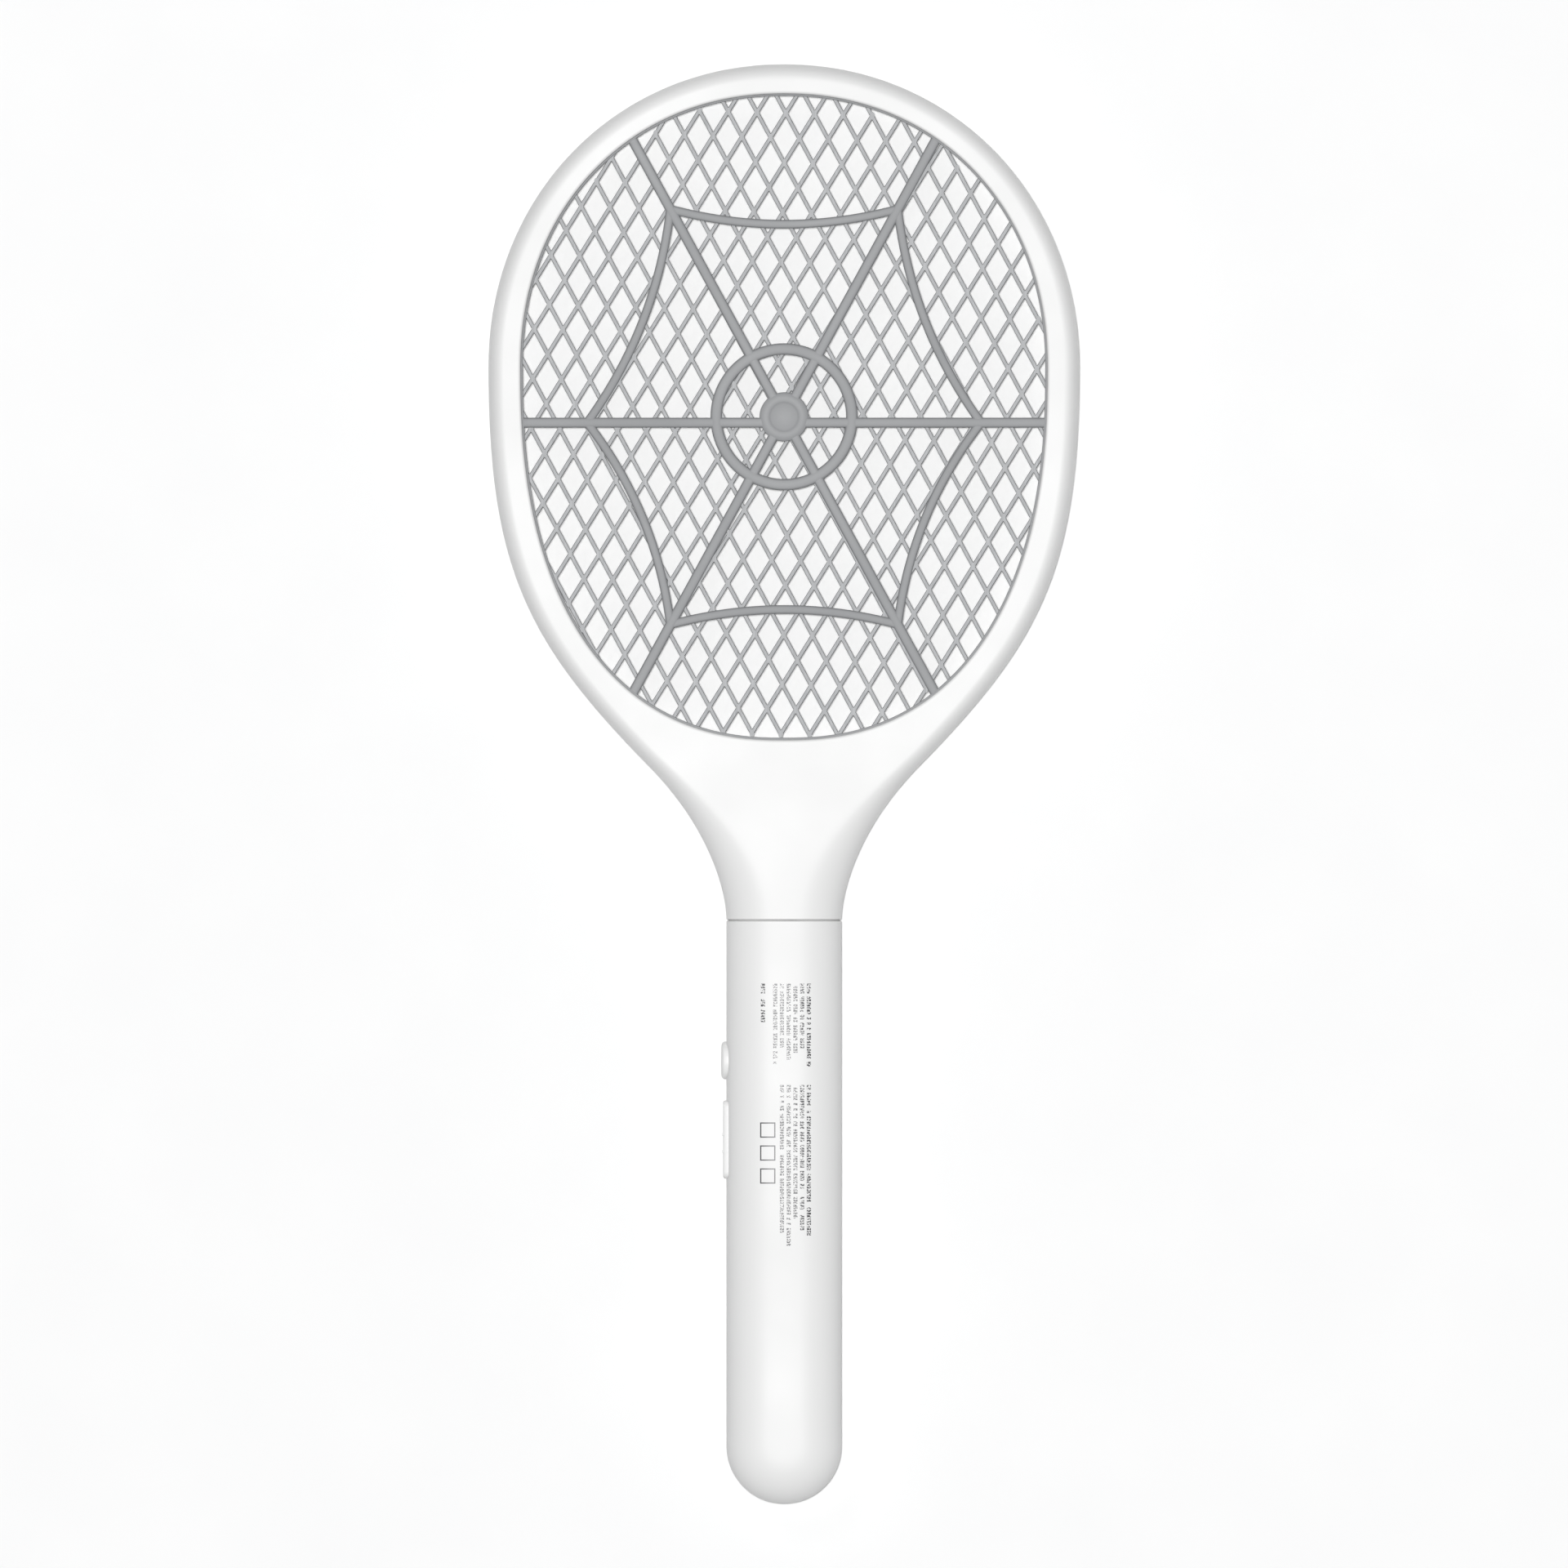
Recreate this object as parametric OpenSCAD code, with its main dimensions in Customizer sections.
/* [Racket] */
// Length from the tip of the head to the butt of the handle
overall_l = 470; // [440:1:520]
// Thickness of the closed shells, on the head and on the handle
body_t = 27; // [26:0.5:32]
// Wall of every moulded shell
wall = 2; // [1.6:0.1:2.4]

/* [Head] */
// Width of the head
head_w = 193; // [180:1:235]
// Distance from the tip down to the widest line of the head
crown_l = 99; // [90:1:110]
// Fullness of the crown's curve: 2 is an ellipse
crown_power = 2.05; // [2:0.01:2.3]
// Width of the rim at the sides
rim_w = 10.5; // [10:0.1:13]
// Width of the rim at the tip
rim_tip_w = 9.6; // [9.4:0.1:12]
// Length of the opening that holds the meshes
opening_l = 211; // [200:1:220]
// Fullness of the opening above the widest line
opening_top_power = 2.11; // [2:0.01:2.3]
// Fullness of the opening below the widest line
opening_low_power = 2.36; // [2.2:0.01:2.5]
// Radius of the rim's edge, seen in section
rim_edge_r = 5; // [4:0.1:5.5]
// Wall that stands around the opening down to the guard
lip_t = 1.6; // [1.2:0.1:2]
// Rim width where the head starts to run towards the neck
flank_w = 12.4; // [12:0.1:15]
// Angle on the opening where the run to the neck starts, down from the widest line
flank_angle = 53; // [51:1:55]
// Length of the run from there to the point of inflection
flank_run = 30; // [27:1:33]
// Pull of the flank's curve at its upper end
flank_top_pull = 66; // [60:1:72]
// Pull of the flank's curve at its lower end
flank_low_pull = 57; // [50:1:60]
// Pull of the neck's curve at its upper end
neck_top_pull = 27; // [20:1:30]
// Pull of the neck's curve where it meets the handle
neck_low_pull = 10; // [8:1:20]

/* [Meshes and guards] */
// Distance between the nodes of the mesh, across
mesh_pitch = 9.4; // [8:0.1:12]
// Angle of the strands from the cross direction
mesh_angle = 59.9; // [50:0.1:65]
// Turn of the meshes in their seat
mesh_turn = -1.8; // [-5:0.1:5]
// Distance of one node of the mesh from the hub, across
mesh_x = -2.5; // [-5:0.1:5]
// Distance of the same node from the hub, along
mesh_y = 1.9; // [-8:0.1:8]
// Width of one strand
strand_w = 1.25; // [1:0.05:1.6]
// Thickness of each metal mesh
mesh_t = 0.8; // [0.6:0.1:1.2]
// Air gap between the live mesh and each earthed mesh
mesh_gap = 4; // [3:0.1:4.6]
// Thickness of each plastic guard
guard_t = 2.2; // [1.6:0.1:2.4]
// How far meshes, spacers and guards reach under the rim
seat_w = 2.3; // [2.2:0.1:2.6]
// Outer diameter of the guard's hub ring
hub_d = 48; // [40:1:56]
// Width of the hub ring
hub_ring_w = 3.7; // [3:0.1:5]
// Diameter of the plain disc at the middle of the hub
hub_disc_d = 16; // [12:1:20]
// Width of the guard's spokes
spoke_w = 3.2; // [2.6:0.1:4]
// Angle of the slanted spokes
spoke_angle = 61.3; // [58:0.1:64]
// Distance from the hub to the web's corners on the slanted spokes
web_slant_r = 77.3; // [70:0.1:82]
// Distance from the hub to the web's corners on the cross spokes
web_side_r = 64.3; // [58:0.1:70]
// Distance from the hub down to the cross spokes
cross_drop = 1.9; // [0:0.1:3]
// Width of the web's curved ribs
web_rib_w = 2.8; // [2.2:0.1:3.4]
// Sag of the web's curved ribs towards the hub
web_sag = 4.9; // [3:0.1:7]

/* [Handle] */
// Length of the handle from the butt to the joint with the neck
handle_l = 190.5; // [188:0.5:230]
// Width of the handle
handle_w = 37.6; // [37:0.1:46]
// Width of the flat line along the top and the bottom of the handle
handle_flat_w = 4; // [4:0.5:6]
// Fullness of the handle's section
section_power = 2.5; // [2.3:0.1:2.8]
// Length of the neck's spigot inside the handle
spigot_l = 14; // [12:0.5:15]

/* [Button and switch] */
// Length of the push button along the handle
button_l = 12.2; // [10:0.1:14]
// Width of the push button and of the switch plate
button_w = 10.6; // [9:0.1:11]
// Height of the push button above the handle
button_proud = 1.7; // [1.5:0.1:2.5]
// Distance from the joint down to the middle of the button
button_down = 45.7; // [44:0.1:48]
// Travel of the push button
button_travel = 1.2; // [0.8:0.1:1.3]
// Length of the slide switch's plate
plate_l = 25.3; // [24:0.1:27]
// Height of the plate above the handle
plate_proud = 1.07; // [0.8:0.01:1.4]
// Distance from the joint down to the middle of the plate
plate_down = 71.5; // [70:0.1:74]
// Length of the slide knob
knob_l = 7.6; // [6:0.1:8]
// Width of the slide knob
knob_w = 5; // [4:0.1:6]
// Travel of the slide knob from off to on
knob_travel = 2; // [1.5:0.1:2.5]
// Height of the two ridges on the slide knob
ridge_h = 0.45; // [0.3:0.05:0.8]

/* [Power] */
// Diameter of the rechargeable cell
cell_d = 14; // [10:0.1:14.5]
// Length of the rechargeable cell
cell_l = 50; // [44:0.1:51]
// Width of the charging socket
socket_w = 8.94; // [7.5:0.01:9.5]
// Height of the charging socket
socket_h = 3.26; // [2.6:0.01:3.6]
// Depth of the charging socket
socket_l = 7.3; // [6:0.1:8]
// Thickness of the main circuit board
board_t = 1.6; // [1.2:0.1:1.8]

/* [Fits] */
// Clearance around a piece that seats in a moulding
seat_gap = 0.1; // [0.05:0.01:0.2]
// Clearance around the button, the plate and the knob
slide_gap = 0.15; // [0.1:0.01:0.25]
// Radial clearance of the push switch's plunger
plunger_gap = 0.05; // [0.02:0.01:0.09]
// Shank diameter of the shell screws
screw_d = 2.2; // [2:0.1:2.4]
// Head diameter of the shell screws
screw_head_d = 3.8; // [3.6:0.1:4.2]

/* [Hidden] */
$fn = 48;
mid = body_t / 2;
tip_y = overall_l / 2;
joint_y = handle_l - overall_l / 2;
head_half_w = head_w / 2;
handle_half_w = handle_w / 2;
widest_y = tip_y - crown_l;
opening_half_w = head_half_w - rim_w;
opening_top = tip_y - rim_tip_w;
opening_low = opening_top - opening_l;
hub_y = (opening_top + opening_low) / 2;
butt_y = -tip_y + handle_half_w;

// Heights of the stack above the parting plane, the same on both sides of it
mesh_z1 = mesh_t / 2;
spacer_z1 = mesh_z1 + mesh_gap;
outer_mesh_z1 = spacer_z1 + mesh_t;
guard_z1 = outer_mesh_z1 + guard_t;

// Solder tabs of the meshes
tab = [5, 12];
side_tab_x = 7.5;
tab_y = opening_low - 12;

// Points of the curves
crown_steps = 16;
flank_steps = 10;
neck_steps = 7;
opening_steps = 18;
profile_steps = 6;
butt_steps = 8;

// Shell screws
locator_t = 1.2;
boss_d = screw_head_d + 1.4;
rim_boss_in = wall + boss_d / 2 - 0.3;
rim_screw_columns = [2, 9, 15, 21];
screw_seat = 4.5;
screw_l = 12;
handle_screws = [
    [0, joint_y - spigot_l / 2],
    [handle_half_w - 6.2, joint_y - 53.5],
    [handle_half_w - 6.4, joint_y - 105.5],
    [-handle_half_w + 6.4, joint_y - 105.5],
    [handle_half_w - 7.3, joint_y - 158.5],
    [-handle_half_w + 7.3, joint_y - 158.5]
];

// Main board and what stands on it
button_y = joint_y - button_down;
plate_y = joint_y - plate_down;
knob_y = plate_y - knob_travel / 2 - 0.1;
push_body = [8.4, 8.5, 8.6];
board_top = mid - push_body[2] / 2;
board_y1 = joint_y - spigot_l - 3.5;
board_y0 = joint_y - 93.5;
board_x0 = -handle_half_w + 5.3;
board_x1 = handle_half_w - 9.6;
post_xy = [[board_x0 + 4, board_y1 - 5], [board_x0 + 4, board_y0 + 5]];
button_face_x = -handle_half_w - button_proud;
inner_x = -handle_half_w + wall;
pocket_x = inner_x + 0.1;
flange_t = 1.2;
flange_w = 1.2;
flange_x = inner_x + 0.2;
plunger_d = 3.4;
push_body_x = flange_x + flange_t + button_travel + 0.8;
bore_l = 3.05;
plate_face_x = -handle_half_w - plate_proud;
plate_front_t = 2.4;
skirt_t = 1;
skirt_x = plate_face_x + plate_front_t + 0.1;
skirt = [knob_l + 5.6, knob_w + 2.6];
plate_inner_x = flange_x + 1;
lever_w = 1.6;
lever_h = 2;
slide_body = [4, 8.6, 5.6];
slide_body_x = plate_inner_x + 3.2;

// Power
trafo = [1, board_y1 - 11.5];
cell_y1 = board_y0 - 7;
cell_y0 = cell_y1 - cell_l;
charge_board = [14, 18, 1];
charge_y0 = -tip_y + 4.5;
charge_top = mid - socket_h / 2;
socket_y0 = -tip_y + 0.5;
lens_d = 3.6;
lens_y = joint_y - 24;
lead_d = 1.4;
lead_z = board_top + lead_d / 2;
cell_tab = 8;
tab_t = 0.4;

// Sizes of the electronic components
core = [14, 5, 13];
core_window = [2.8, 8.6];
winding = [9, 11, 7];
bobbin = [9.6, 12, 8.6];
hv_capacitor = [8, 18, 11];
filter_capacitor = [6.3, 11];
transistor = [4.8, 7];
diode = [2.7, 5.2];
resistor = [2.3, 6];
wire_d = 0.6;
bobbin_z = 2.2;
chip = [4.9, 3.9, 1.5];

// Colours
white = [0.95, 0.95, 0.94];
pale = [0.88, 0.88, 0.87];
grey = [0.58, 0.59, 0.6];
steel = [0.72, 0.73, 0.75];
dark = [0.12, 0.12, 0.13];

// Quarter of a superellipse's unit curve at an angle
function rounded(a, power) = [pow(cos(a), 2 / power), pow(sin(a), 2 / power)];
function bezier(a, b, c, d, t) =
    pow(1 - t, 3) * a + 3 * pow(1 - t, 2) * t * b + 3 * (1 - t) * t * t * c + pow(t, 3) * d;
function unit(v) = v / norm(v);
function ease(t) = t * t * (3 - 2 * t);
function clamp(t) = max(0, min(1, t));

// Opening: a point and its outward normal, on the right-hand side
function opening_top_point(a) = let (q = rounded(a, opening_top_power))
    [opening_half_w * q[0], widest_y + (opening_top - widest_y) * q[1]];
function opening_low_point(a) = let (q = rounded(a, opening_low_power))
    [opening_half_w * q[0], widest_y - (widest_y - opening_low) * q[1]];
opening_right = concat(
    [for (i = [0:opening_steps]) opening_top_point(90 - 90 * i / opening_steps)],
    [for (i = [1:opening_steps]) opening_low_point(90 * i / opening_steps)]
);

// Unit normals of a line of points that starts and ends on straight normals
function normals(line, first, last) = let (n = len(line) - 1)
    [for (i = [0:n]) i == 0 ? first : i == n ? last :
        let (d = unit(line[i + 1] - line[i - 1])) [-d[1], d[0]]];
opening_normals = normals(opening_right, [0, 1], [0, -1]);
function opening(grow) = let (n = len(opening_right) - 1) concat(
    [for (i = [0:n]) opening_right[i] + opening_normals[i] * grow],
    [for (i = [n - 1:-1:1]) let (p = opening_right[i] + opening_normals[i] * grow) [-p[0], p[1]]]
);

// Outline of the head's right-hand side, from the tip to the joint
flank_start = opening_low_point(flank_angle);
flank_next = opening_low_point(flank_angle + 0.1);
flank_dir = unit(flank_next - flank_start);
flank_point = flank_start + [-flank_dir[1], flank_dir[0]] * flank_w + flank_dir * flank_run;
widest = [head_half_w, widest_y];
neck_point = [handle_half_w, joint_y];
head_right = concat(
    [for (i = [0:crown_steps]) let (q = rounded(90 - 90 * i / crown_steps, crown_power))
        [head_half_w * q[0], widest_y + crown_l * q[1]]],
    [for (i = [1:flank_steps]) bezier(widest, widest + [0, -flank_top_pull],
        flank_point - flank_dir * flank_low_pull, flank_point, i / flank_steps)],
    [for (i = [1:neck_steps]) bezier(flank_point, flank_point + flank_dir * neck_top_pull,
        neck_point + [0, neck_low_pull], neck_point, i / neck_steps)]
);
head_normals = normals(head_right, [0, 1], [1, 0]);
rim_screws = concat(
    [for (k = rim_screw_columns) head_right[k] - head_normals[k] * rim_boss_in],
    [for (k = rim_screw_columns) let (p = head_right[k] - head_normals[k] * rim_boss_in) [-p[0], p[1]]]
);

// Outline of the handle's right-hand side with the butt upwards, from the butt to the joint
handle_right = concat([for (i = [butt_steps:-1:0]) let (a = 90 * i / butt_steps)
    [handle_half_w * cos(a), -butt_y + handle_half_w * sin(a)]], [[handle_half_w, -joint_y]]);
handle_normals = concat([for (i = [butt_steps:-1:0]) let (a = 90 * i / butt_steps)
    [cos(a), sin(a)]], [[1, 0]]);

// How far the section's curve reaches in from the outline
handle_reach = handle_half_w - handle_flat_w / 2;
neck_top_y = opening_low - 6;
function reach(y) = rim_edge_r
    + (handle_reach - rim_edge_r) * ease(clamp((neck_top_y - y) / (neck_top_y - joint_y)));

// One column of the skin, from the parting plane, or a drop below it, up to the top face
function column(p, n, reach_in, skin, drop) = concat(
    drop > 0 ? [[p[0] - n[0] * skin, p[1] - n[1] * skin, -drop]] : [],
    [for (j = [0:profile_steps])
        let (q = rounded(90 * j / profile_steps, section_power))
        let (s = p - n * (skin + max(0.4, reach_in - skin) * (1 - q[0])))
        [s[0], s[1], (mid - skin) * q[1]]]
);
function columns(line, ns, reaches, skin, run_out) = let (n = len(line) - 1)
    [for (i = [0:n]) column(line[i] - [0, i == n ? run_out : 0], ns[i], reaches[i], skin, run_out)];
function mirrored(col) = [for (p = col) [-p[0], p[1], p[2]]];

// Closed solid over the parting plane, from its right-hand columns, the tip's first
module half_skin(right) {
    cols = concat([for (i = [len(right) - 1:-1:1]) mirrored(right[i])], right);
    n = len(cols) - 1;
    m = len(cols[0]);
    top = m - 1;
    half = n / 2 - 1;
    sides = [for (k = [0:n - 1], j = [0:m - 2]) let (a = k * m + j, b = (k + 1) * m + j)
        each [[a, b, b + 1], [a, b + 1, a + 1]]];
    cap = [for (k = [0:half]) let (o = n - k) concat(
        [k * m + top, (k + 1) * m + top], k == half ? [] : [(o - 1) * m + top], [o * m + top])];
    base = [for (k = [0:half]) let (o = n - k) concat(
        [o * m], k == half ? [] : [(o - 1) * m], [(k + 1) * m, k * m])];
    end = [concat([for (j = [0:top]) j], [for (j = [top:-1:0]) n * m + j])];
    polyhedron([for (c = cols) each c], concat(sides, cap, base, end));
}

module head_half(skin, run_out) {
    half_skin(columns(head_right, head_normals, [for (p = head_right) reach(p[1])], skin, run_out));
}

module handle_half(skin, run_out) {
    mirror([0, 1, 0])
        half_skin(columns(handle_right, handle_normals,
            [for (p = handle_right) handle_reach], skin, run_out));
}

// Stands a shape of the upper half over the parting plane, or turns it under it
module side(up) {
    translate([0, 0, mid]) mirror([0, 0, up ? 0 : 1]) children();
}

// Prism between two heights above the parting plane
module slab(z0, z1) {
    translate([0, 0, z0]) linear_extrude(z1 - z0) children();
}

// Ring between two outlines around the opening
module ring(inner, outer) {
    difference() {
        polygon(opening(outer));
        polygon(opening(inner));
    }
}

// Oval and rounded rectangle, long in X
module oval(l, w) {
    for (s = [-1, 1]) translate([s * (l - w) / 2, 0]) circle(d = w);
    square([l - w, w], center = true);
}
module panel(l, w, r) {
    square([l - 2 * r, w], center = true);
    square([l, w - 2 * r], center = true);
    for (x = [-1, 1], y = [-1, 1]) translate([x * (l / 2 - r), y * (w / 2 - r)]) circle(r);
}

// Stands a flat shape against the handle's left side, its X along the handle
module on_side(x0, x1, y) {
    translate([x0, y, mid]) rotate([90, 0, 90]) linear_extrude(x1 - x0) children();
}

// Half of the handle's section, pushed along the handle
module tongue(skin, y0, y1) {
    col = column(neck_point, [1, 0], handle_reach, skin, 0);
    pts = concat([for (p = col) [p[0], p[2]]], [for (i = [len(col) - 1:-1:0]) [-col[i][0], col[i][2]]]);
    translate([0, y1, 0]) rotate([90, 0, 0]) linear_extrude(y1 - y0) polygon(pts);
}

// Half of the collar and of the spigot that the handle's shells close around
module spigot() {
    collar_l = 2.5;
    difference() {
        union() {
            tongue(wall / 2, joint_y, joint_y + collar_l);
            tongue(wall + seat_gap, joint_y - spigot_l, joint_y);
        }
        difference() {
            tongue(2 * wall, joint_y - spigot_l - 1, joint_y + collar_l + 1);
            translate([0, handle_screws[0][1], 0]) cylinder(d = boss_d, h = mid);
        }
    }
}

// Hole of one shell screw: a pilot above the parting plane, a deep seat below it
module screw_hole(p, up, seat) {
    translate([p[0], p[1], -1]) {
        if (up) cylinder(d = screw_d + 0.1, h = screw_l - seat + 1.6);
        else {
            cylinder(d = screw_d + 0.4, h = mid + 2);
            translate([0, 0, seat + 1]) cylinder(d = screw_head_d + 0.4, h = mid);
        }
    }
}

module head_shell(up) {
    side(up) difference() {
        union() {
            difference() {
                head_half(0, 0);
                difference() {
                    head_half(wall, 1);
                    slab(guard_z1, mid) polygon(opening(lip_t));
                    difference() {
                        slab(mesh_z1 + 0.4, mid) ring(seat_w + seat_gap, seat_w + seat_gap + locator_t);
                        translate([-side_tab_x - tab[0], tab_y, 0])
                            cube([2 * (side_tab_x + tab[0]), 16, mid]);
                    }
                    for (p = rim_screws) translate([p[0], p[1], 0]) cylinder(d = boss_d, h = mid);
                }
                slab(-1, mid + 1) polygon(opening(0));
            }
            spigot();
        }
        for (p = rim_screws) screw_hole(p, up, screw_seat);
        screw_hole(handle_screws[0], up, mid - wall - seat_gap);
    }
}

module head_rear_shell() {
    color(white) head_shell(true);
}

module head_front_shell() {
    color(white) head_shell(false);
}

// Curved rib of the guard's web between two corners, sagging towards the hub
module web_rib(a, b) {
    steps = 10;
    chord = norm(b - a);
    r = (chord * chord / 4 + web_sag * web_sag) / (2 * web_sag);
    half = asin(chord / 2 / r);
    out = unit([(b - a)[1], -(b - a)[0]]);
    c = (a + b) / 2 - out * web_sag + out * r;
    turn = atan2(-out[1], -out[0]);
    function at(rr, i) = let (t = turn - half + 2 * half * i / steps) c + rr * [cos(t), sin(t)];
    polygon(concat([for (i = [0:steps]) at(r - web_rib_w / 2, i)],
        [for (i = [steps:-1:0]) at(r + web_rib_w / 2, i)]));
}

module guard(up) {
    spokes = [0, spoke_angle, 180 - spoke_angle, 180, 180 + spoke_angle, 360 - spoke_angle];
    drops = [for (a = spokes) a % 180 == 0 ? cross_drop : 0];
    corners = [for (i = [0:5]) let (a = spokes[i])
        (a % 180 == 0 ? web_side_r : web_slant_r) * [cos(a), sin(a)] - [0, drops[i]]];
    side(up) slab(outer_mesh_z1, guard_z1) {
        ring(0, seat_w);
        intersection() {
            polygon(opening(seat_w / 2));
            translate([0, hub_y]) {
                for (i = [0:5]) translate([0, -drops[i]]) rotate(spokes[i])
                    translate([hub_disc_d / 4, -spoke_w / 2]) square([opening_l, spoke_w]);
                for (i = [0:5]) web_rib(corners[i], corners[(i + 1) % 6]);
                circle(d = hub_disc_d);
                difference() {
                    circle(d = hub_d);
                    circle(d = hub_d - 2 * hub_ring_w);
                }
            }
        }
    }
}

module rear_guard() {
    color(grey) guard(true);
}

module front_guard() {
    color(grey) guard(false);
}

// Flat metal mesh of crossing strands, with the tab that its lead is soldered to
module mesh(tab_x) {
    rise = mesh_pitch * tan(mesh_angle);
    half_x = mesh_pitch / 2 - strand_w / 2 / sin(mesh_angle);
    half_y = half_x * tan(mesh_angle);
    reach = ceil(opening_l / mesh_pitch);
    linear_extrude(mesh_t, center = true) difference() {
        polygon(opening(seat_w));
        intersection() {
            polygon(opening(0));
            translate([mesh_x, hub_y + mesh_y]) rotate(mesh_turn)
                for (i = [-reach:reach], j = [-reach:reach])
                    let (c = [i * mesh_pitch / 2, j * rise / 2], q = c + [mesh_x, mesh_y])
                        if ((i + j) % 2 != 0 && norm([q[0] / opening_half_w, 2 * q[1] / opening_l]) < 1.2)
                            translate(c) polygon([[half_x, 0], [0, half_y], [-half_x, 0], [0, -half_y]]);
        }
    }
    translate([tab_x - tab[0] / 2, tab_y, -mesh_t / 2]) cube([tab[0], tab[1], mesh_t]);
}

module rear_mesh() {
    color(steel) translate([0, 0, mid + spacer_z1 + mesh_t / 2]) mesh(-side_tab_x);
}

module live_mesh() {
    color(steel) translate([0, 0, mid]) mesh(0);
}

module front_mesh() {
    color(steel) translate([0, 0, mid - spacer_z1 - mesh_t / 2]) mesh(side_tab_x);
}

module spacer(up) {
    side(up) slab(mesh_z1, spacer_z1) ring(0, seat_w);
}

module rear_spacer() {
    color(pale) spacer(true);
}

module front_spacer() {
    color(pale) spacer(false);
}

// Rounded opening in the handle's side, with the pocket for a flange behind it
module side_cut(l, y, r) {
    on_side(-handle_half_w - 1, inner_x + 1, y) panel(l + 2 * slide_gap, button_w + 2 * slide_gap, r);
    on_side(pocket_x, inner_x + 6, y)
        square([l + 2 * flange_w + 0.6, button_w + 2 * flange_w + 0.3], center = true);
}

// Ribs, bosses and posts that stand in one half of the handle
module handle_inside(up) {
    for (i = [1:len(handle_screws) - 1])
        translate([handle_screws[i][0], handle_screws[i][1], 0]) cylinder(d = boss_d, h = mid);
    for (share = up ? [0.3, 0.7] : [0.15, 0.5, 0.85]) difference() {
        translate([-cell_d / 2 - 0.5, cell_y0 + share * cell_l - 0.8, 0]) cube([cell_d + 1, 1.6, mid]);
        translate([0, cell_y0 - 1, 0]) rotate([-90, 0, 0])
            cylinder(d = cell_d + 2 * seat_gap, h = cell_l + 2);
    }
    rib_z = up ? -socket_h / 2 : socket_h / 2 + charge_board[2];
    for (s = [-1, 1]) translate([s * 6.2 - 0.6, charge_y0 + 2, rib_z]) cube([1.2, 13, 2 * mid]);
    if (!up) for (p = post_xy) translate([p[0], p[1], mid - board_top + board_t]) cylinder(d = 5, h = mid);
}

module handle_shell(up) {
    difference() {
        side(up) difference() {
            handle_half(0, 0);
            difference() {
                handle_half(wall, 1);
                handle_inside(up);
            }
            for (i = [1:len(handle_screws) - 1]) screw_hole(handle_screws[i], up, screw_seat);
            if (!up) {
                translate([0, handle_screws[0][1], 0]) cylinder(d = screw_head_d + 0.4, h = mid + 1);
                translate([0, lens_y, 0]) cylinder(d = lens_d + 2 * seat_gap, h = mid + 1);
                for (p = post_xy) translate([p[0], p[1], 0]) cylinder(d = 1.7, h = mid - 3);
            }
        }
        side_cut(button_l, button_y, button_w / 2 - 0.01);
        side_cut(plate_l, plate_y, 2);
        translate([0, socket_y0 + socket_l, mid]) rotate([90, 0, 0])
            linear_extrude(socket_l + 2) oval(socket_w + 2 * slide_gap, socket_h + 2 * slide_gap);
    }
}

module handle_rear_shell() {
    color(white) handle_shell(true);
}

module handle_front_shell() {
    color(white) handle_shell(false);
}

module push_button() {
    color(pale) {
        on_side(button_face_x, flange_x, button_y) oval(button_l, button_w);
        on_side(flange_x, flange_x + flange_t, button_y)
            oval(button_l + 2 * flange_w, button_w + 2 * flange_w);
    }
}

module switch_plate() {
    slot_l = knob_l + knob_travel + 2 * slide_gap;
    color(pale) difference() {
        union() {
            on_side(plate_face_x, plate_inner_x, plate_y) panel(plate_l, button_w, 2);
            on_side(pocket_x, plate_inner_x, plate_y)
                panel(plate_l + 2 * flange_w, button_w + 2 * flange_w, 2);
        }
        on_side(plate_face_x - 1, plate_inner_x + 1, plate_y) panel(slot_l, knob_w + 2 * slide_gap, 0.6);
        on_side(plate_face_x + plate_front_t, plate_inner_x + 1, plate_y)
            square([skirt[0] + knob_travel + 0.6, skirt[1] + 0.3], center = true);
    }
}

module slide_knob() {
    color(pale) {
        on_side(plate_face_x, skirt_x, knob_y) panel(knob_l, knob_w, 0.5);
        for (s = [-1, 1]) on_side(plate_face_x - ridge_h, plate_face_x, knob_y + s * (knob_l / 2 - 1))
            square([1, knob_w - 1], center = true);
        on_side(skirt_x, skirt_x + skirt_t, knob_y) square(skirt, center = true);
        for (s = [-1, 1]) on_side(skirt_x + skirt_t, skirt_x + 3, knob_y + s * (lever_w / 2 + 0.5))
            square([1, lever_h + 1], center = true);
    }
}

module indicator_lens() {
    color("ghostwhite") translate([0, lens_y, 0]) {
        translate([0, 0, 0.2]) cylinder(d = lens_d, h = wall + 0.2);
        translate([0, 0, wall + 0.1]) cylinder(d = lens_d + 1.6, h = 0.8);
    }
}

module socket_shell() {
    color(steel) translate([0, socket_y0 + socket_l, mid]) rotate([90, 0, 0])
        linear_extrude(socket_l) difference() {
            oval(socket_w, socket_h);
            oval(socket_w - 0.6, socket_h - 0.6);
        }
}

module socket_tongue() {
    color(dark) translate([0, socket_y0 + socket_l, mid]) rotate([90, 0, 0]) {
        linear_extrude(1.5) oval(socket_w - 0.6, socket_h - 0.6);
        linear_extrude(socket_l - 0.8) square([socket_w - 2.3, 0.7], center = true);
    }
}

module charge_board() {
    color("darkgreen") translate([-charge_board[0] / 2, charge_y0, charge_top - charge_board[2]])
        cube(charge_board);
}

module charge_chip() {
    color(dark) translate([-chip[0] / 2, charge_y0 + 12.5, charge_top]) cube(chip);
}

module main_board() {
    color("darkgreen") difference() {
        translate([board_x0, board_y0, board_top - board_t])
            cube([board_x1 - board_x0, board_y1 - board_y0, board_t]);
        for (p = post_xy) translate([p[0], p[1], 0]) cylinder(d = 1.9, h = mid);
    }
}

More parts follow.
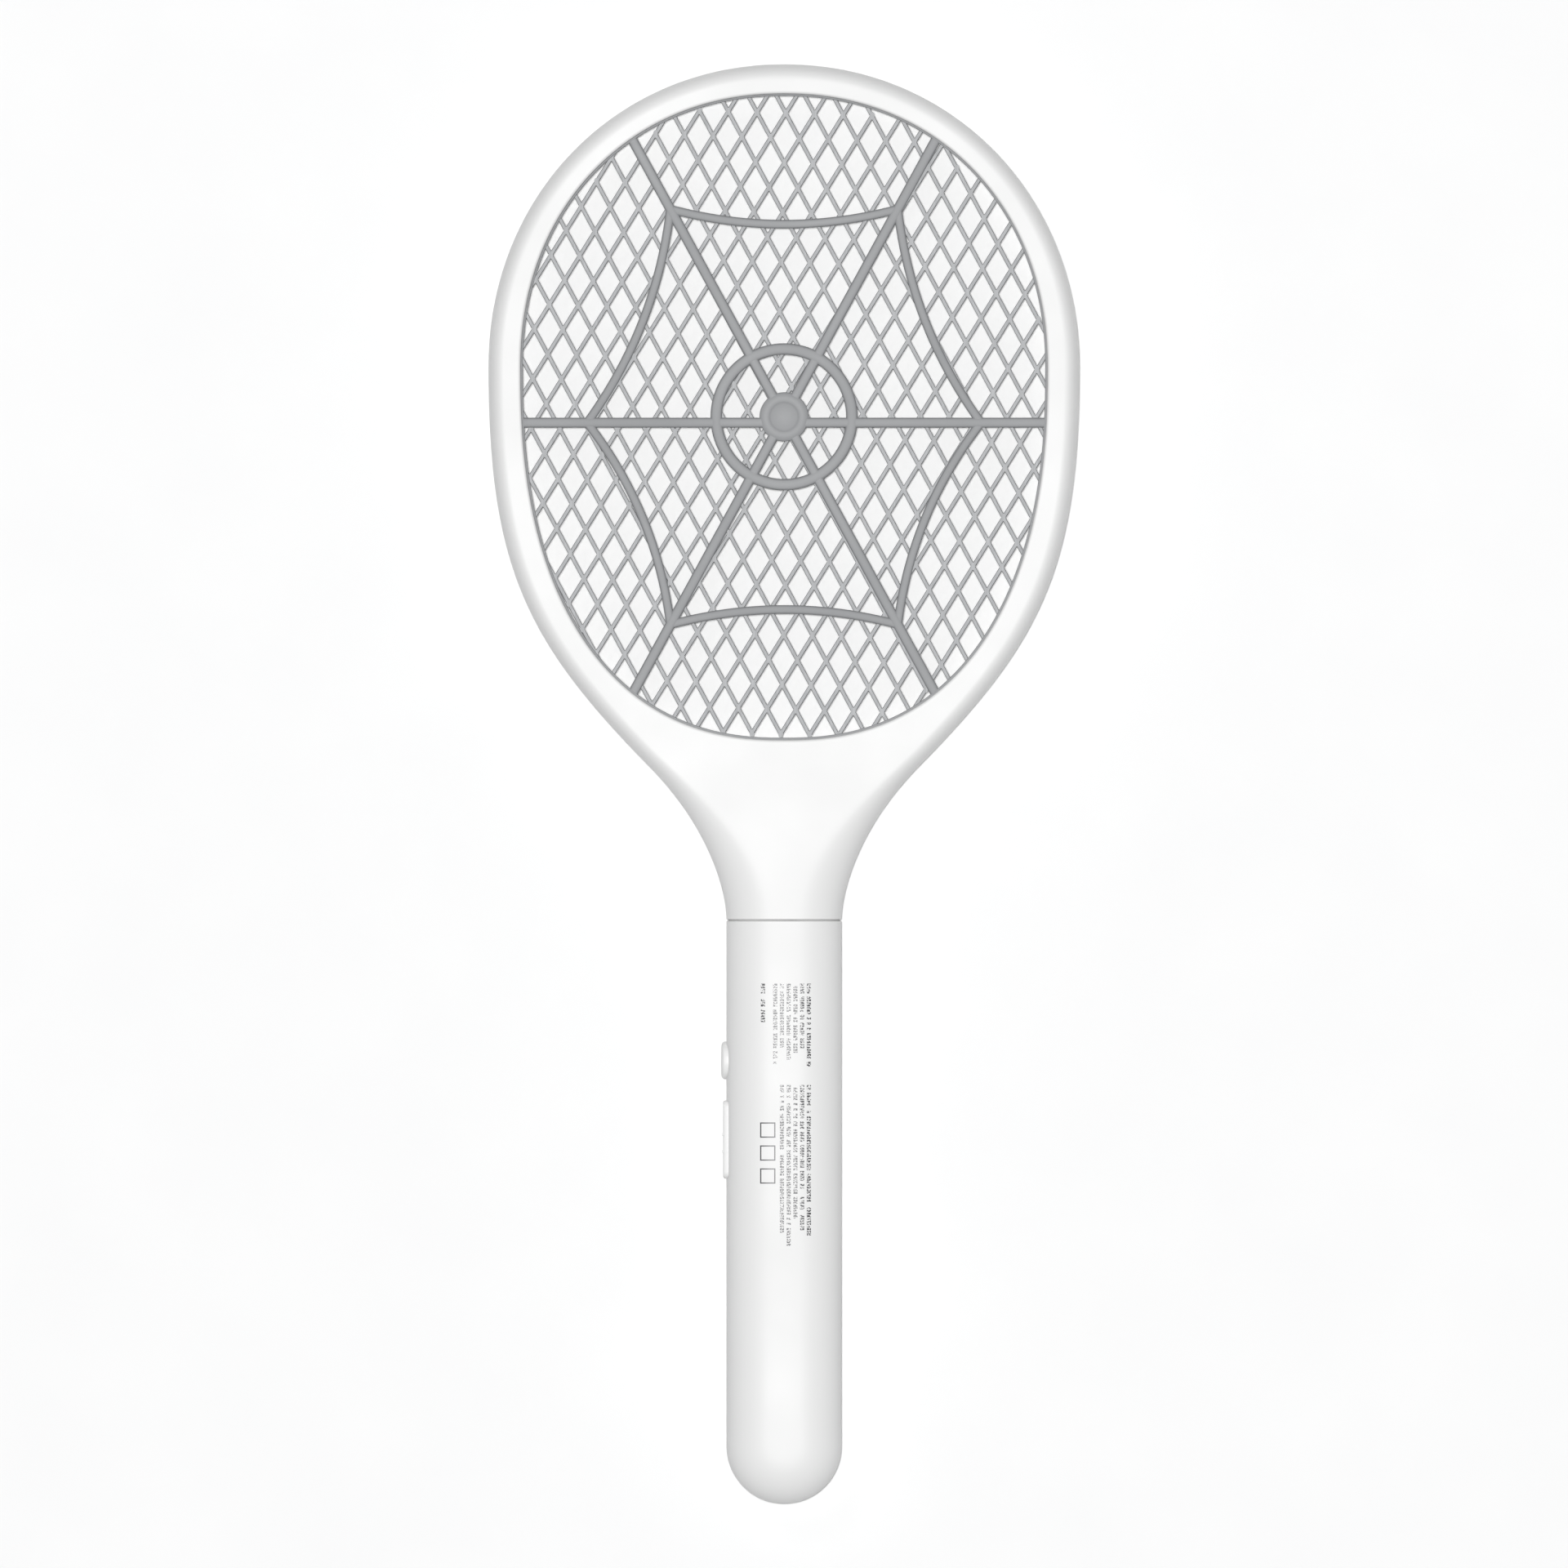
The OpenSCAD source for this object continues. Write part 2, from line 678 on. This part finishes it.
// Frame of two E cores face to face
module transformer_core() {
    color(dark) translate([trafo[0], trafo[1] + core[1] / 2, board_top]) rotate([90, 0, 0])
        linear_extrude(core[1]) difference() {
            translate([-core[0] / 2, 0]) square([core[0], core[2]]);
            for (s = [-1, 1]) translate([s * 3.4 - core_window[0] / 2, bobbin_z]) square(core_window);
        }
}

module transformer_bobbin() {
    color("ivory") translate([trafo[0], trafo[1], board_top]) {
        difference() {
            union() {
                for (z = [bobbin_z, bobbin_z + bobbin[2] - 0.8])
                    translate([-bobbin[0] / 2, -bobbin[1] / 2, z]) cube([bobbin[0], bobbin[1], 0.8]);
                translate([-2.7, -3.2, bobbin_z]) cube([5.4, 6.4, bobbin[2]]);
            }
            translate([-2, -core[1] / 2, 0]) cube([4, core[1], core[2]]);
        }
        for (x = [-1, 1], y = [-1, 1]) translate([x * 3.5 - 0.5, y * 5 - 0.5, 0]) cube([1, 1, bobbin_z]);
    }
}

module transformer_winding() {
    color("peru") translate([trafo[0], trafo[1], board_top + bobbin_z + 0.8]) difference() {
        linear_extrude(winding[2]) panel(winding[0], winding[1], 2);
        translate([-2.7, -3.2, -1]) cube([5.4, 6.4, 10]);
    }
}

module hv_capacitor() {
    color("firebrick") translate([3, board_y0 + 12, board_top]) linear_extrude(hv_capacitor[2])
        panel(hv_capacitor[0], hv_capacitor[1], 2);
}

module filter_capacitor() {
    color("midnightblue") translate([4.5, button_y + 3.2, board_top])
        cylinder(d = filter_capacitor[0], h = filter_capacitor[1]);
}

module switching_transistor() {
    color(dark) translate([-1.5, button_y + 3.2, board_top]) intersection() {
        cylinder(d = transistor[0], h = transistor[1]);
        translate([-1.4, -3, 0]) cube([6, 6, transistor[1]]);
    }
}

module one_diode(y) {
    z = diode[0] / 2 + 0.05;
    translate([-1.5, y, board_top + z]) rotate([0, 90, 0]) cylinder(d = diode[0], h = diode[1]);
    for (x = [-3.5, diode[1] - 1.5])
        translate([x, y, board_top + z]) rotate([0, 90, 0]) cylinder(d = wire_d, h = 2);
    for (x = [-3.5, diode[1] + 0.5]) translate([x - 0.4, y - 0.4, board_top]) cube([0.8, 0.8, 1.8]);
}

module hv_diodes() {
    color(dark) for (i = [0:3]) one_diode(button_y - 5.5 - 4.2 * i);
}

module resistors() {
    color("tan") for (y = [button_y - 12, board_y0 + 15]) {
        translate([-6.2, y, board_top + 1.2]) rotate([90, 0, 0]) {
            cylinder(d = resistor[0], h = resistor[1], center = true);
            cylinder(d = wire_d, h = resistor[1] + 2, center = true);
        }
        for (s = [-1, 1])
            translate([-6.2, y + s * (resistor[1] / 2 + 1), board_top]) cylinder(d = wire_d, h = 1.5);
    }
}

module push_switch_body() {
    color(dark) difference() {
        translate([push_body_x, button_y - push_body[1] / 2, board_top]) cube(push_body);
        translate([push_body_x - 1, button_y, mid]) rotate([0, 90, 0])
            cylinder(d = plunger_d + 2 * plunger_gap, h = 1 + bore_l);
    }
}

module push_switch_plunger() {
    x0 = flange_x + flange_t;
    color("ivory") translate([x0, button_y, mid]) rotate([0, 90, 0])
        cylinder(d = plunger_d, h = push_body_x - x0 + bore_l - button_travel - 0.2);
}

module slide_switch_body() {
    color(steel) difference() {
        union() {
            translate([slide_body_x, plate_y - slide_body[1] / 2, mid - slide_body[2] / 2])
                cube(slide_body);
            for (s = [-1, 0, 1]) translate([slide_body_x + 1.5, plate_y + s * 3 - 0.4, board_top])
                cube([1, 0.8, mid - board_top]);
        }
        slot = [3, lever_w + knob_travel + 2 * slide_gap, lever_h + 2 * slide_gap];
        translate([slide_body_x - 1, plate_y - slot[1] / 2, mid - slot[2] / 2]) cube(slot);
    }
}

module slide_switch_lever() {
    color("ivory") translate([skirt_x + skirt_t, knob_y - lever_w / 2, mid - lever_h / 2])
        cube([slide_body_x + 1.8 - skirt_x - skirt_t, lever_w, lever_h]);
}

module status_led() {
    color("tomato") translate([0, lens_y, board_top - board_t]) mirror([0, 0, 1]) {
        cylinder(d = 3.8, h = 1);
        cylinder(d = 3, h = 3.4);
    }
}

module battery_cell() {
    color("seagreen") translate([0, cell_y0, mid]) rotate([-90, 0, 0]) {
        cylinder(d = cell_d, h = cell_l - 1);
        cylinder(d = 5.5, h = cell_l);
    }
}

module battery_tabs() {
    color(steel) for (y = [cell_y0 - tab_t, cell_y1])
        translate([-cell_tab / 2, y, mid - cell_tab / 2]) cube([cell_tab, tab_t, cell_tab]);
}

// Tube along a route that never stands upright
module lead(route, d) {
    n = len(route) - 1;
    sides = 8;
    rings = [for (i = [0:n])
        let (t = unit(route[min(n, i + 1)] - route[max(0, i - 1)]))
        let (x = unit(cross(t, [0, 0, 1])), z = cross(x, t))
        [for (k = [0:sides - 1]) let (a = 360 * k / sides) route[i] + d / 2 * (cos(a) * x + sin(a) * z)]];
    polyhedron([for (r = rings) each r], concat(
        [[for (k = [0:sides - 1]) k], [for (k = [sides - 1:-1:0]) n * sides + k]],
        [for (i = [0:n - 1], k = [0:sides - 1]) let (m = (k + 1) % sides)
            [i * sides + k, (i + 1) * sides + k, (i + 1) * sides + m, i * sides + m]]));
}

// Place along the neck: 0 at the meshes' tabs, 1 at the joint
function neck_run(share) = tab_y + share * (joint_y - tab_y);

module hv_lead() {
    color("crimson") lead([[0, tab_y, mid], [0, neck_run(0.26), mid], [3, neck_run(0.58), mid],
        [6, neck_run(0.86), 13], [6, joint_y - 7.5, 12], [6, joint_y - 15.5, 11],
        [5, board_y1 - 1, lead_z], [5, board_y1 - 3, lead_z]], lead_d);
}

module guard_leads() {
    z = spacer_z1 + mesh_t / 2;
    color("black") lead([[-side_tab_x, tab_y, mid + z], [-side_tab_x, neck_run(0.26), mid + z],
        [-7, neck_run(0.58), 17], [-6, neck_run(0.86), 15], [-6, joint_y - 7.5, 12], [-5, joint_y - 15.5, 11],
        [-4, board_y1 - 1, lead_z], [-4, board_y1 - 3, lead_z]], lead_d);
    color("black") lead([[side_tab_x, tab_y, mid - z], [side_tab_x, neck_run(0.26), mid - z],
        [8, neck_run(0.86), 9], [8.4, joint_y - 7.5, 9], [8.2, joint_y - 15.5, lead_z],
        [8, board_y1 - 1, lead_z], [8, board_y1 - 3, lead_z]], lead_d);
}

module battery_leads() {
    color("crimson") lead([[2, cell_y1 + tab_t + 0.22, mid - 2.5], [2, cell_y1 + 3, 10.2],
        [2, cell_y1 + 6, lead_z + 0.2], [2, board_y0 + 1, lead_z], [2, board_y0 + 2.5, lead_z]], lead_d);
    color("black") lead([[-3, cell_y0 - tab_t - 0.51, mid - 2], [-4, cell_y0 - 2.6, 10],
        [-7, cell_y0 - 2.8, 8.5], [-8.6, cell_y0 + 1, 7.5], [-8.6, cell_y1, 7.5], [-8, board_y0 - 3, 9.2],
        [-7, board_y0, lead_z], [-6.8, board_y0 + 2, lead_z]], lead_d);
}

module charge_leads() {
    y0 = charge_y0 + charge_board[1];
    for (i = [0, 1]) color(i == 0 ? "crimson" : "black")
        lead([[3.2 + 1.8 * i, y0 - 1, charge_top + lead_d / 2], [3.4 + 1.8 * i, y0 + 2, 12.5],
            [7, cell_y0 - 8, 9 + 1.8 * i], [8.4, cell_y0 - 1, 6 + 1.8 * i], [8.4, cell_y0 + 6, 5.6 + 1.8 * i],
            [8.4, cell_y1, 5.6 + 1.8 * i], [7.2 + 1.2 * i, board_y0 - 3.5, 8 + 0.9 * i],
            [6 + 1.8 * i, board_y0, lead_z + 0.3], [6 + 1.8 * i, board_y0 + 2, lead_z]], lead_d);
}

// Pan-headed screw, its shank upwards from the seat
module screw(p, seat) {
    color(steel) translate([p[0], p[1], mid - seat]) {
        cylinder(d = screw_d, h = screw_l);
        difference() {
            translate([0, 0, -1.6]) cylinder(d = screw_head_d, h = 1.6);
            for (a = [0, 90]) rotate(a) translate([-1.1, -0.3, -2.6]) cube([2.2, 0.6, 1.8]);
        }
    }
}

module board_screws() {
    color(steel) for (p = post_xy) translate([p[0], p[1], board_top]) {
        mirror([0, 0, 1]) cylinder(d = 1.6, h = 5);
        cylinder(d = 3, h = 1.1);
    }
}

head_rear_shell();
head_front_shell();
rear_guard();
front_guard();
rear_mesh();
live_mesh();
front_mesh();
rear_spacer();
front_spacer();
handle_rear_shell();
handle_front_shell();
push_button();
switch_plate();
slide_knob();
indicator_lens();
socket_shell();
socket_tongue();
charge_board();
main_board();
transformer_core();
transformer_bobbin();
transformer_winding();
hv_capacitor();
filter_capacitor();
switching_transistor();
charge_chip();
push_switch_body();
push_switch_plunger();
slide_switch_body();
slide_switch_lever();
status_led();
battery_cell();
battery_tabs();
hv_lead();
guard_leads();
battery_leads();
charge_leads();
board_screws();
hv_diodes();
resistors();
for (i = [1:len(rim_screws)])
    screw(rim_screws[i - 1], screw_seat);
for (i = [1:len(handle_screws)]) screw(handle_screws[i - 1], i == 1 ? mid - wall - seat_gap : screw_seat);
